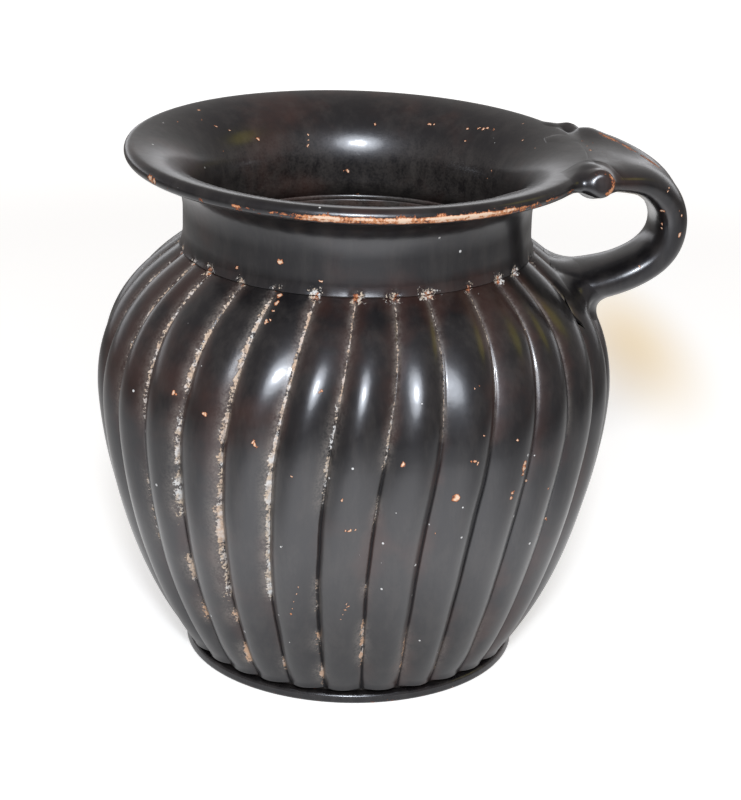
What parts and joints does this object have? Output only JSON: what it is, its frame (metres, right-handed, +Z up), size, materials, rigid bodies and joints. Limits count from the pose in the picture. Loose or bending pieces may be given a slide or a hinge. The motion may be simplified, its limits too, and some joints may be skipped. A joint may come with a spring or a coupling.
{
  "type": "ribbed ceramic cup",
  "caption": "Squat ribbed pot with a collar neck, wide flaring rim, flat disc foot and one looped strap handle, for holding and pouring drink",
  "frame": {"origin": "centre of the foot's flat underside, on the surface that the cup stands on", "axes": "+Z up along the pot's turning axis, +X towards the handle, +Y to the left of the handle seen from above with the handle to the right"},
  "size_m": [0.1069, 0.0938, 0.0969],
  "materials": {
    "foot_black_gloss": "semi-gloss black slip, rubbed along the edge that stands on the table",
    "shadow_groove_slip": "matt dark slip in a narrow groove, hardly polished",
    "ribbed_black_gloss": "glossy brown-black slip, chalky tan deposit in the grooves, small orange chips and white specks",
    "neck_ledge_slip": "glossy black slip with tan nicks where each groove starts",
    "rim_black_gloss": "glossy brown-black slip, worn through to orange clay along the outer edge of the rim",
    "handle_black_gloss": "glossy black slip, worn red-brown along the crest of the strap",
    "worn_knob_gloss": "black slip, worn to orange clay round the edge of the knob"
  },
  "bodies": {
    "root": {"foot_disc": "foot_black_gloss", "foot_joint_slip": "shadow_groove_slip", "ribbed_pot": "ribbed_black_gloss", "neck_joint_slip": "neck_ledge_slip", "neck_and_rim": "rim_black_gloss", "strap_handle": "handle_black_gloss", "handle_root_clay": "handle_black_gloss", "front_rim_knob": "worn_knob_gloss", "rear_rim_knob": "worn_knob_gloss"}
  },
  "joints": []
}
